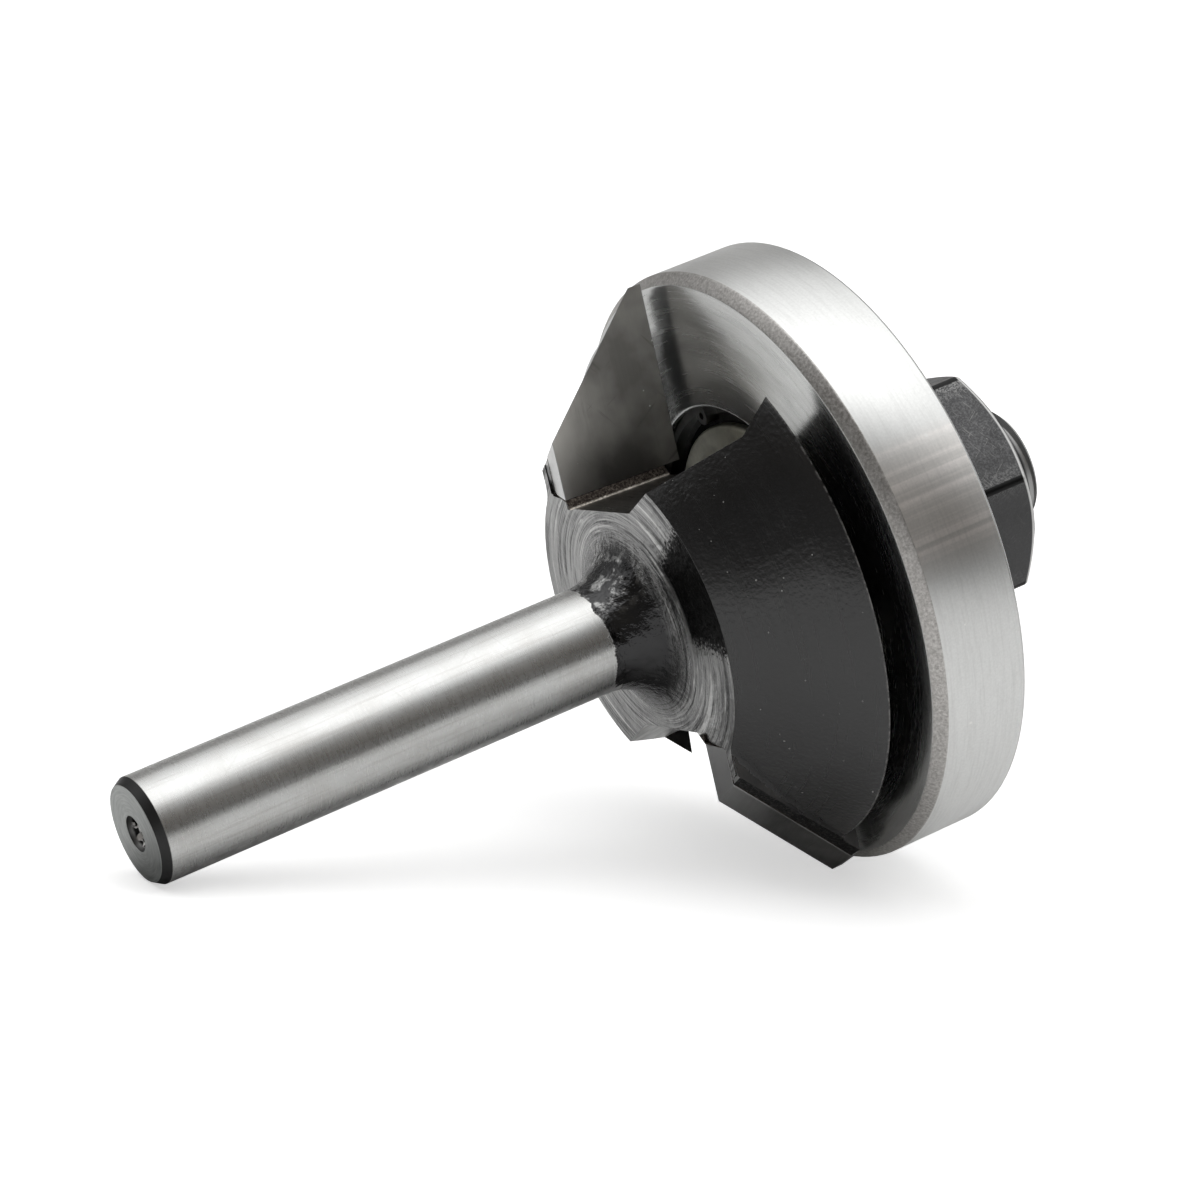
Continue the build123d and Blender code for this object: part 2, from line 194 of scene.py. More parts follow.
def edit(piece, kind="FACE", action="DESELECT"):
    """Opens a piece for editing with nothing selected, or all of it where action is SELECT."""
    select_only(piece)
    bpy.ops.object.mode_set(mode="EDIT")
    bpy.ops.mesh.select_mode(type=kind)
    bpy.ops.mesh.select_all(action=action)


def leave():
    bpy.ops.object.mode_set(mode="OBJECT")


def edit_edges(piece, chosen):
    """Opens a piece for editing with the edges selected whose two ends chosen(first, second) accepts."""
    edit(piece, "EDGE")
    leave()
    for edge in piece.data.edges:
        edge.select = chosen(*(piece.data.vertices[v].co for v in edge.vertices))
    bpy.ops.object.mode_set(mode="EDIT")


def merged_copy(node_name, piece_name):
    """Copy of a CAD node, its loose triangles joined and its flat faces made whole."""
    node = frame["nodes"][node_name]
    select_only(node)
    bpy.ops.object.duplicate()
    piece = bpy.context.active_object
    if piece is node:
        raise RuntimeError(f"{node_name} wasn't copied")
    piece.name = piece_name
    piece.data.name = piece_name
    del piece["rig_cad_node"]
    piece.data.materials.clear()
    edit(piece, action="SELECT")
    bpy.ops.mesh.remove_doubles(threshold=4e-7)
    bpy.ops.mesh.customdata_custom_splitnormals_clear()
    bpy.ops.mesh.dissolve_limited(angle_limit=math.radians(0.2))
    leave()
    return piece


def use_modifier(piece, kind, **settings):
    """Adds a modifier with these settings and applies it."""
    select_only(piece)
    bpy.ops.object.modifier_add(type=kind)
    modifier = piece.modifiers[-1]
    for name, value in settings.items():
        setattr(modifier, name, value)
    bpy.ops.object.modifier_apply(modifier=modifier.name)


def ease_edges(piece, width, segments=2, angle=35):
    """Rounds the edges that are sharper than angle by width, in millimetres."""
    use_modifier(
        piece, "BEVEL", width=width * MM, segments=segments, limit_method="ANGLE",
        angle_limit=math.radians(angle), use_clamp_overlap=False, miter_outer="MITER_ARC",
    )


def smooth(piece, angle=28):
    select_only(piece)
    bpy.ops.object.shade_smooth_by_angle(angle=math.radians(angle))


def in_bit(point):
    """(radius, station) of a point, in millimetres."""
    place = BIT.inverted() @ point
    return math.hypot(place.x, place.y) / MM, place.z / MM


def paint(piece, material, chosen=None):
    """Gives a piece a material, on all faces or on those that chosen(radius, station, normal) accepts."""
    piece.data.materials.append(material)
    number = len(piece.data.materials) - 1
    for face in piece.data.polygons:
        if chosen is None or chosen(*in_bit(face.center), face.normal):
            face.material_index = number


def finish_piece(piece, body, slot, *nodes):
    """Puts a finished piece on its body, in place of its CAD nodes."""
    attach(piece, body)
    if nodes:
        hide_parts(*nodes)


# Node groups that several finishes use


def new_group(name, inputs, outputs):
    """Empty node group with number or vector inputs {name: default} and outputs {name: socket type}."""
    group = bpy.data.node_groups.new(name, "ShaderNodeTree")
    for socket, default in inputs.items():
        kind = "NodeSocketVector" if isinstance(default, tuple) else "NodeSocketFloat"
        made = group.interface.new_socket(name=socket, in_out="INPUT", socket_type=kind)
        made.default_value = default
    for socket, kind in outputs.items():
        group.interface.new_socket(name=socket, in_out="OUTPUT", socket_type=kind)
    return group, add(group, "NodeGroupInput"), add(group, "NodeGroupOutput")


def add(tree, kind, **settings):
    node = tree.nodes.new(kind)
    for name, value in settings.items():
        setattr(node, name, value)
    return node


def feed(tree, node, **values):
    """Sets a node's inputs, by name or as i0, i1, i2 by number, each to a value or another node's socket."""
    for name, value in values.items():
        socket = node.inputs[int(name[1:]) if name[0] == "i" and name[1:].isdigit() else name.replace("_", " ")]
        if isinstance(value, bpy.types.NodeSocket):
            tree.links.new(value, socket)
        else:
            socket.default_value = value
    return node


def calc(tree, operation, first, second=0.0, third=0.0):
    """Math node's result."""
    node = add(tree, "ShaderNodeMath", operation=operation)
    return feed(tree, node, i0=first, i1=second, i2=third).outputs[0]


def vector(tree, operation, first, second=(0, 0, 0), scale=1.0):
    """Vector Math node's result, a number where the operation gives one."""
    node = add(tree, "ShaderNodeVectorMath", operation=operation)
    feed(tree, node, i0=first)
    if operation == "SCALE":
        feed(tree, node, Scale=scale)
    elif operation not in ("LENGTH", "NORMALIZE"):
        feed(tree, node, i1=second)
    return node.outputs["Value" if operation in ("LENGTH", "DOT_PRODUCT") else "Vector"]


def ramp(tree, value, *stops):
    """Colour ramp through (position, brightness or colour) stops."""
    node = add(tree, "ShaderNodeValToRGB")
    elements = node.color_ramp.elements
    while len(elements) < len(stops):
        elements.new(0.5)
    for element, (position, shade) in zip(elements, stops):
        element.position = position
        element.color = (*shade, 1) if isinstance(shade, tuple) else (shade, shade, shade, 1)
    return feed(tree, node, Fac=value).outputs["Color"]


def span(tree, value, low, high, at_low=0.0, at_high=1.0):
    """Value taken from low..high to at_low..at_high, and held there beyond."""
    node = add(tree, "ShaderNodeMapRange", clamp=True)
    feed(tree, node, Value=value, From_Min=low, From_Max=high, To_Min=at_low, To_Max=at_high)
    return node.outputs["Result"]


def blend(tree, mask, first, second):
    """Colour mix, first where the mask is 0 and second where it is 1."""
    node = add(tree, "ShaderNodeMix", data_type="RGBA")
    for index, value in ((0, mask), (6, first), (7, second)):
        if isinstance(value, bpy.types.NodeSocket):
            tree.links.new(value, node.inputs[index])
        else:
            node.inputs[index].default_value = (*value, 1) if isinstance(value, tuple) else value
    return node.outputs[2]


def noise(tree, place, scale, detail=3.0, roughness=0.55):
    node = add(tree, "ShaderNodeTexNoise")
    return feed(tree, node, Vector=place, Scale=scale, Detail=detail, Roughness=roughness).outputs["Fac"]


def make_bit_place():
    """Object coordinates turned into the bit's own: millimetres, with z along its axis."""
    outputs = {"Place": "NodeSocketVector", "Round": "NodeSocketVector", "Radius": "NodeSocketFloat",
               "Station": "NodeSocketFloat"}
    group, _, out = new_group("Bit Place", {}, outputs)
    turned_back = BIT.to_3x3().transposed()
    mapping = add(group, "ShaderNodeMapping", vector_type="POINT")
    feed(group, mapping, Vector=add(group, "ShaderNodeTexCoord").outputs["Object"],
         Location=-(turned_back @ SHANK_END) / MM, Rotation=turned_back.to_euler(), Scale=(1 / MM,) * 3)
    place = mapping.outputs["Vector"]
    flat = vector(group, "MULTIPLY", place, (1, 1, 0))
    feed(group, out, Place=place, Round=vector(group, "NORMALIZE", flat), Radius=vector(group, "LENGTH", flat),
         Station=vector(group, "DOT_PRODUCT", place, (0, 0, 1)))


def place_in(tree):
    return add(tree, "ShaderNodeGroup", node_tree=bpy.data.node_groups["Bit Place"]).outputs


def make_turned_marks():
    """Fine rings round the axis, as turning and round grinding leave them."""
    group, into, out = new_group("Turned Marks", {"Lines": 8.0, "Run": 2.0}, {"Mask": "NodeSocketFloat"})
    place = place_in(group)
    along = calc(group, "MULTIPLY_ADD", place["Radius"], 0.61, place["Station"])
    rise = calc(group, "MULTIPLY", along, into.outputs["Lines"])
    combined = add(group, "ShaderNodeCombineXYZ")
    feed(group, combined, Z=rise)
    spread = vector(group, "SCALE", place["Round"], scale=into.outputs["Run"])
    feed(group, out, Mask=noise(group, vector(group, "ADD", spread, combined.outputs[0]), 1.0, 4.0, 0.6))


def make_ground_lines():
    """Straight fine lines across a given direction, as a grinding wheel leaves them on a flat."""
    group, into, out = new_group(
        "Ground Lines", {"Across": (1.0, 0.0, 0.0), "Lines": 9.0, "Run": 0.35}, {"Mask": "NodeSocketFloat"})
    place = place_in(group)
    across = vector(group, "DOT_PRODUCT", place["Place"], into.outputs["Across"])
    fine = vector(group, "SCALE", into.outputs["Across"], scale=calc(group, "MULTIPLY", across, into.outputs["Lines"]))
    slow = vector(group, "SCALE", place["Place"], scale=into.outputs["Run"])
    feed(group, out, Mask=noise(group, vector(group, "ADD", fine, slow), 1.0, 4.0, 0.65))


def make_specks():
    """Scattered small specks of dust or pits."""
    group, into, out = new_group("Specks", {"Scale": 1.5, "Share": 0.1, "Size": 0.12}, {"Mask": "NodeSocketFloat"})
    cells = add(group, "ShaderNodeTexVoronoi", feature="F1")
    feed(group, cells, Vector=place_in(group)["Place"], Scale=into.outputs["Scale"])
    split = add(group, "ShaderNodeSeparateColor")
    feed(group, split, Color=cells.outputs["Color"])
    chosen = calc(group, "LESS_THAN", split.outputs["Red"], into.outputs["Share"])
    size = calc(group, "MULTIPLY", split.outputs["Green"], into.outputs["Size"])
    close = span(group, cells.outputs["Distance"], calc(group, "MULTIPLY", size, 0.6), size, 1.0, 0.0)
    feed(group, out, Mask=calc(group, "MULTIPLY", chosen, close))


def make_scratches():
    """Short fine scratches in two directions."""
    group, into, out = new_group("Scratches", {"Scale": 3.0, "Share": 0.1}, {"Mask": "NodeSocketFloat"})
    place = place_in(group)["Place"]
    marks = []
    for stretch in ((1.0, 0.06, 0.06), (0.08, 0.08, 1.0)):
        turned = add(group, "ShaderNodeMapping", vector_type="POINT")
        feed(group, turned, Vector=place, Rotation=(0.6, 0.9, 0.4))
        stretched = vector(group, "MULTIPLY", turned.outputs[0], stretch)
        marks.append(noise(group, vector(group, "SCALE", stretched, scale=into.outputs["Scale"]), 4.0, 2.0, 0.5))
    peak = calc(group, "MAXIMUM", *marks)
    level = calc(group, "SUBTRACT", 0.8, into.outputs["Share"])
    feed(group, out, Mask=span(group, peak, level, calc(group, "ADD", level, 0.05)))


GROUP_MAKERS = (make_bit_place, make_turned_marks, make_ground_lines, make_specks, make_scratches)


def group_mask(tree, name, **values):
    node = add(tree, "ShaderNodeGroup", node_tree=bpy.data.node_groups[name])
    return feed(tree, node, **values).outputs["Mask"]


# Finishes


class Finish:
    """A material with one Principled shader, its plain values set on the shader itself."""

    def __init__(self, name, color, metallic=0.0, roughness=0.4, **settings):
        self.material = bpy.data.materials.new(name)
        self.material.use_nodes = True
        self.tree = self.material.node_tree
        self.shader = next(n for n in self.tree.nodes if n.type == "BSDF_PRINCIPLED")
        self.set(Base_Color=(*color, 1), Metallic=metallic, Roughness=roughness, **settings)

    def set(self, **values):
        feed(self.tree, self.shader, **values)

    def bump(self, height, depth, normal=None):
        """Lets a height mask of depth millimetres shape the surface."""
        node = add(self.tree, "ShaderNodeBump")
        feed(self.tree, node, Height=height, Distance=depth * MM, Strength=1.0)
        if normal is not None:
            feed(self.tree, node, Normal=normal)
        feed(self.tree, self.shader, Normal=node.outputs[0])
        return node.outputs[0]


def make_collar_rim(look):
    """Bright round-ground steel."""
    made = Finish("Collar Rim", look.steel_color, 1.0, 0.34)
    tree = made.tree
    place = place_in(tree)
    fine = group_mask(tree, "Turned Marks", Lines=6.0, Run=6.0)
    cloud = noise(tree, place["Place"], 0.12, 1.0)
    grain = noise(tree, place["Place"], 7.0, 3.0, 0.6)
    # Painted reflection: faint warm bands across the rim, on one narrow side only
    reflection_bands = noise(tree, vector(tree, "SCALE", place["Round"], scale=38.0), 1.0, 2.0, 0.5)
    band_side = span(tree, vector(tree, "DOT_PRODUCT", place["Round"], REFLECTION_BAND_SIDE), 0.972, 0.992)
    reflection_bands = calc(tree, "MULTIPLY", span(tree, reflection_bands, 0.46, 0.66), band_side)
    specks = group_mask(tree, "Specks", Scale=0.8, Share=0.12, Size=0.14)
    steel = tuple(min(c * 1.24, 1.0) for c in look.steel_color)
    warm_reflection = (steel[0] * 0.93, steel[1] * 0.9, steel[2] * 0.88)
    bright_reflection = (1.0, 0.96, 0.93)
    base = blend(tree, span(tree, cloud, 0.35, 0.7), tuple(c * 0.95 for c in steel), steel)
    base = blend(tree, reflection_bands, blend(tree, band_side, base, warm_reflection), bright_reflection)
    base = blend(tree, span(tree, grain, 0.3, 0.7, 0.0, 0.18), base, (0.4, 0.4, 0.39))
    base = blend(tree, span(tree, fine, 0.45, 0.7, 0.0, 0.2), base, (0.45, 0.45, 0.44))
    made.set(Base_Color=blend(tree, specks, base, (0.85, 0.85, 0.83)),
             Roughness=span(tree, cloud, 0.3, 0.7, 0.3, 0.38))
    made.bump(fine, 0.003)
    return made.material


def make_shank_finish(look):
    """Ground shank, blackened end, and the lacquer's ragged edge at the neck."""
    made = Finish("Shank and Neck", look.steel_color, 1.0, 0.3)
    tree = made.tree
    place = place_in(tree)
    fine = group_mask(tree, "Turned Marks", Lines=7.0, Run=3.0)
    stain = noise(tree, place["Place"], 0.35, 4.0)
    wear = group_mask(tree, "Scratches", Scale=1.3, Share=0.13)
    bright = tuple(look.steel_color)
    dull = (bright[0] * 0.9, bright[1] * 0.89, bright[2] * 0.88)
    steel = blend(tree, span(tree, stain, 0.4, 0.68), bright, dull)
    steel = blend(tree, calc(tree, "MULTIPLY", wear, 0.1), steel, (0.3, 0.29, 0.27))
    # Faint streaks along the shank
    along = vector(tree, "ADD", vector(tree, "SCALE", place["Round"], scale=13.0),
                   vector(tree, "MULTIPLY", place["Place"], (0.0, 0.0, 0.12)))
    streaks = span(tree, noise(tree, along, 1.0, 4.0, 0.65), 0.5, 0.68)
    steel = blend(tree, calc(tree, "MULTIPLY", streaks, 0.4), steel, (0.4, 0.385, 0.365))
    grain = noise(tree, place["Place"], 9.0, 3.0, 0.6)
    steel = blend(tree, span(tree, grain, 0.3, 0.7, 0.0, 0.2), steel, (0.45, 0.45, 0.44))
    # Lacquer from the neck back to a ragged edge
    ragged = noise(tree, place["Place"], 1.1, 4.0, 0.6)
    edge = calc(tree, "MULTIPLY_ADD", ragged, look.lacquer_ragged, look.lacquer_edge - 0.5 * look.lacquer_ragged)
    painted = span(tree, calc(tree, "SUBTRACT", place["Station"], edge), -0.03, 0.03)
    # Turned rings on the hub, with one sector painted dull black as a dark reflection, its ends ragged
    crisp = group_mask(tree, "Turned Marks", Lines=5.5, Run=0.9)
    fine_rings = group_mask(tree, "Turned Marks", Lines=15.0, Run=2.0)
    frayed = calc(tree, "MULTIPLY", calc(tree, "SUBTRACT", noise(tree, place["Place"], 5.0, 3.0, 0.7), 0.5), 0.16)
    facing = vector(tree, "DOT_PRODUCT", place["Round"], DARK_REFLECTION_SIDE)
    dark_reflection = span(tree, calc(tree, "ADD", facing, frayed), DARK_REFLECTION_COSINE - 0.012, DARK_REFLECTION_COSINE + 0.012)
    inside = span(tree, calc(tree, "ADD", place["Radius"], calc(tree, "MULTIPLY", fine_rings, 0.5)), 6.2, 6.4)
    dark_reflection = calc(tree, "MULTIPLY", dark_reflection, inside)
    rings = span(tree, place["Radius"], 4.4, 5.9)
    shown = blend(tree, span(tree, fine_rings, 0.38, 0.6), (0.19, 0.19, 0.19), (0.43, 0.43, 0.425))
    shown = blend(tree, span(tree, crisp, 0.57, 0.61), shown, (0.11, 0.11, 0.11))
    shown = blend(tree, span(tree, crisp, 0.38, 0.41), (0.62, 0.62, 0.61), shown)
    lacquer = blend(tree, rings, (0.058, 0.058, 0.059), shown)
    # Painted highlight: a ragged light patch on the upper side of the neck
    neck_highlight = span(tree, vector(tree, "DOT_PRODUCT", place["Round"], UPPER_SIDE), 0.55, 0.9)
    neck_highlight = calc(tree, "MULTIPLY", neck_highlight, calc(tree, "SUBTRACT", 1.0, rings))
    wear_and_highlight = span(tree, noise(tree, place["Place"], 1.3, 3.0, 0.6), 0.5, 0.62)
    lacquer = blend(tree, calc(tree, "MULTIPLY", neck_highlight, wear_and_highlight), lacquer, (0.36, 0.36, 0.355))
    # Painted dark reflection over the sector
    lacquer = blend(tree, dark_reflection, lacquer, (0.003, 0.003, 0.003))
    # Blackened chamfer, turned end face, and the centre hole: a darker grey rim, then the hole painted near black as
    # shade, with a few painted glints
    end = span(tree, place["Station"], END_CHAMFER - 0.02, END_CHAMFER + 0.03, 1.0, 0.0)
    face_rings = blend(tree, span(tree, fine_rings, 0.35, 0.65), (0.3, 0.312, 0.304), (0.47, 0.485, 0.475))
    end_rings = blend(tree, span(tree, place["Station"], 0.01, 0.03), face_rings, (0.05, 0.05, 0.05))
    in_rim = span(tree, place["Radius"], CENTRE_RIM_R - 0.12, CENTRE_RIM_R)
    end_rings = blend(tree, in_rim, (0.2, 0.2, 0.195), end_rings)
    painted_glints = span(tree, noise(tree, place["Place"], 2.6, 1.0), 0.56, 0.62)
    hole_shade_and_glints = blend(tree, painted_glints, (0.012, 0.012, 0.012), (0.75, 0.73, 0.71))
    in_hole = span(tree, place["Radius"], CENTRE_RIM_R - 0.18, CENTRE_RIM_R - 0.12)
    end_rings = blend(tree, in_hole, hole_shade_and_glints, end_rings)
    colour = blend(tree, painted, steel, lacquer)
    colour = blend(tree, end, colour, end_rings)
    bare = calc(tree, "SUBTRACT", 1.0, painted)
    metal = calc(tree, "SUBTRACT", 1.0, calc(tree, "MULTIPLY", painted, dark_reflection))
    rough = blend(tree, painted, span(tree, fine, 0.3, 0.7, 0.25, 0.31),
                  span(tree, rings, 0.0, 1.0, 0.06, 0.3))
    rough = blend(tree, end, rough, span(tree, fine_rings, 0.3, 0.7, 0.35, 0.5))
    made.set(Base_Color=colour, Metallic=metal, Roughness=rough, Specular_IOR_Level=0.08)
    first = made.bump(calc(tree, "MULTIPLY", fine, bare), 0.0011)
    second = made.bump(calc(tree, "MULTIPLY", crisp, calc(tree, "MULTIPLY", rings, painted)), 0.06, normal=first)
    third = made.bump(calc(tree, "MULTIPLY", fine_rings, painted), 0.006, normal=second)
    made.bump(calc(tree, "MULTIPLY", painted, noise(tree, place["Place"], 1.5, 4.0)), 0.14, normal=third)
    return made.material


def make_lacquer_finish(look):
    """Satin black lacquer with a faint orange peel, over turned steel."""
    made = Finish("Black Lacquer", look.lacquer_color, 0.0, look.lacquer_roughness, Coat_Weight=0.7)
    made.set(Coat_Roughness=0.2, Specular_IOR_Level=0.5)
    tree = made.tree
    place = place_in(tree)["Place"]
    marks = group_mask(tree, "Turned Marks", Lines=2.2, Run=1.5)
    peel = noise(tree, place, 4.0, 2.0, 0.45)
    cloud = noise(tree, place, 0.22, 3.0)
    dust = group_mask(tree, "Specks", Scale=1.7, Share=0.5, Size=0.13)
    black = tuple(look.lacquer_color)
    grey = tuple(c * 1.8 + 0.002 for c in black)
    base = blend(tree, span(tree, cloud, 0.4, 0.7), black, grey)
    # The cone's sharp rear rim shows a light grey line broken in places: lacquer worn through, and a painted edge
    # highlight
    rim_wear_and_highlight = calc(tree, "MULTIPLY", span(tree, place_in(tree)["Radius"], CONE_R - 0.12, CONE_R - 0.05),
                   span(tree, noise(tree, place, 2.5, 4.0, 0.7), 0.4, 0.6))
    base = blend(tree, rim_wear_and_highlight, base, (0.16, 0.155, 0.15))
    made.set(Base_Color=blend(tree, dust, base, (0.32, 0.32, 0.31)),
             Roughness=span(tree, marks, 0.3, 0.7, look.lacquer_roughness - 0.05, look.lacquer_roughness + 0.06))
    first = made.bump(marks, 0.035)
    made.bump(peel, 0.045, normal=first)
    return made.material


def make_gullet_finish(look):
    """Milled gullet faces under thin lacquer."""
    made = Finish("Gullet Lacquer", look.lacquer_color, 0.35, 0.34)
    tree = made.tree
    lines = group_mask(tree, "Ground Lines", Across=tuple(in_bit_frame(AXIS)), Lines=4.0, Run=0.25)
    stain = noise(tree, place_in(tree)["Place"], 0.5, 3.0)
    made.set(Base_Color=blend(tree, span(tree, stain, 0.42, 0.65), (0.014, 0.0135, 0.0135), (0.04, 0.037, 0.034)),
             Roughness=span(tree, lines, 0.3, 0.7, 0.26, 0.4))
    made.bump(lines, 0.008)
    return made.material


def in_bit_frame(direction):
    return BIT.to_3x3().transposed() @ direction


def make_relief_finish():
    """Steel ground back behind the carbide, coarse and dark."""
    made = Finish("Ground Relief", (0.12, 0.12, 0.12), 0.8, 0.5)
    tree = made.tree
    place = place_in(tree)["Place"]
    grain = noise(tree, place, 6.0, 4.0, 0.7)
    lines = group_mask(tree, "Ground Lines", Across=tuple(in_bit_frame(AXIS)), Lines=5.0, Run=0.6)
    made.set(Base_Color=blend(tree, span(tree, grain, 0.48, 0.66), (0.012, 0.012, 0.012), (0.1, 0.1, 0.098)),
             Roughness=span(tree, grain, 0.3, 0.7, 0.38, 0.62))
    first = made.bump(lines, 0.01)
    made.bump(grain, 0.03, normal=first)
    return made.material


def make_carbide_finish(name, color, wing):
    """Dark grey carbide with fine wheel marks."""
    made = Finish(f"{name} {wing + 1}", color, 1.0, 0.3)
    tree = made.tree
    place = place_in(tree)["Place"]
    lines = group_mask(tree, "Ground Lines", Across=tuple(in_bit_frame(WINGS[wing].face_up)), Lines=9.0, Run=0.3)
    cloud = noise(tree, place, 0.3, 3.0)
    scratch = group_mask(tree, "Scratches", Scale=0.9, Share=0.1)
    grey = tuple(color)
    dark = tuple(c * 0.66 for c in grey)
    base = blend(tree, span(tree, cloud, 0.38, 0.62), dark, grey)
    base = blend(tree, calc(tree, "MULTIPLY", scratch, 0.5), base, tuple(c * 0.5 for c in grey))
    # Painted light: the tip is lighter towards its end at the hub
    lit_near_hub = span(tree, place_in(tree)["Station"], TIP_END, TIP_END + 2.8, 0.8, 0.0)
    base = blend(tree, lit_near_hub, base, tuple(min(c * 2.0, 1.0) for c in grey))
    dust = group_mask(tree, "Specks", Scale=1.1, Share=0.35, Size=0.1)
    base = blend(tree, dust, base, (0.95, 0.95, 0.93))
    made.set(Base_Color=base, Roughness=span(tree, lines, 0.3, 0.7, 0.32, 0.5))
    made.bump(lines, 0.005)
    return made.material


def make_end_finish():
    """Bright ground ends of the wings, with fine straight wheel marks."""
    made = Finish("Ground Ends", (0.6, 0.6, 0.59), 1.0, 0.36)
    tree = made.tree
    lines = group_mask(tree, "Ground Lines", Across=tuple(in_bit_frame(WINGS[0].out)), Lines=7.0, Run=0.4)
    cloud = noise(tree, place_in(tree)["Place"], 0.9, 3.0)
    made.set(Base_Color=blend(tree, span(tree, cloud, 0.4, 0.66), (0.5, 0.5, 0.495), (0.75, 0.75, 0.74)),
             Roughness=span(tree, lines, 0.3, 0.7, 0.3, 0.45))
    made.bump(lines, 0.006)
    return made.material


def make_braze_finish(wing):
    """Silver solder, lumpy and heat stained, brighter along the edge of its bead."""
    made = Finish(f"Silver Solder {wing + 1}", (0.6, 0.56, 0.5), 1.0, 0.35)
    tree = made.tree
    place = place_in(tree)["Place"]
    lumps = noise(tree, place, 2.2, 3.0)
    burnt = noise(tree, place, 7.0, 4.0, 0.7)
    base = blend(tree, span(tree, burnt, 0.44, 0.66), (0.02, 0.016, 0.014), (0.15, 0.13, 0.11))
    behind = in_bit_frame(WINGS[wing].behind)
    rake = behind.dot(BIT.inverted() @ WINGS[wing].origin) / MM
    beyond = calc(tree, "SUBTRACT", vector(tree, "DOT_PRODUCT", place, tuple(behind)), rake - BEAD)
    edge = span(tree, calc(tree, "MULTIPLY_ADD", burnt, 0.16, beyond), 0.1, 0.17, 1.0, 0.0)
    made.set(Base_Color=blend(tree, edge, base, (0.6, 0.56, 0.5)), Roughness=span(tree, burnt, 0.36, 0.5, 0.26, 0.5))
    made.bump(lumps, 0.03)
    return made.material


def make_collar_faces(look):
    """Faces and bevels of the collar: turned, with a brushed sheen."""
    made = Finish("Collar Faces", look.steel_color, 1.0, 0.26)
    tree = made.tree
    fine = group_mask(tree, "Turned Marks", Lines=8.0, Run=2.5)
    broad = group_mask(tree, "Turned Marks", Lines=1.2, Run=2.0)
    made.set(Base_Color=blend(tree, span(tree, broad, 0.35, 0.65), (0.525, 0.53, 0.52), (0.655, 0.66, 0.65)),
             Roughness=span(tree, fine, 0.3, 0.7, 0.2, 0.3))
    made.bump(fine, 0.0012)
    return made.material


def make_collar_bevel():
    """The collar's front bevel: rougher and faintly brown."""
    made = Finish("Collar Bevel", (0.34, 0.32, 0.3), 1.0, 0.42)
    tree = made.tree
    grain = noise(tree, place_in(tree)["Place"], 6.0, 4.0, 0.7)
    made.set(Base_Color=blend(tree, span(tree, grain, 0.36, 0.66), (0.36, 0.345, 0.33), (0.68, 0.665, 0.645)),
             Roughness=span(tree, grain, 0.3, 0.7, 0.36, 0.5))
    made.bump(grain, 0.004)
    return made.material


def make_plain_steel(name, color, roughness, lines, depth, stain):
    """Turned or pressed steel for washers, races and rings."""
    made = Finish(name, color, 1.0, roughness)
    tree = made.tree
    fine = group_mask(tree, "Turned Marks", Lines=lines, Run=3.0)
    cloud = noise(tree, place_in(tree)["Place"], 0.8, 4.0)
    dark = tuple(c * stain for c in color)
    made.set(Base_Color=blend(tree, span(tree, cloud, 0.38, 0.68), color, dark),
             Roughness=span(tree, fine, 0.3, 0.7, roughness - 0.05, roughness + 0.08))
    made.bump(fine, depth)
    return made.material


def make_seal_finish():
    """Matt black rubber."""
    made = Finish("Seal Rubber", (0.012, 0.012, 0.012), 0.0, 0.62)
    tree = made.tree
    grain = noise(tree, place_in(tree)["Place"], 5.0, 3.0)
    made.set(Roughness=span(tree, grain, 0.3, 0.7, 0.5, 0.72))
    made.bump(grain, 0.01)
    return made.material


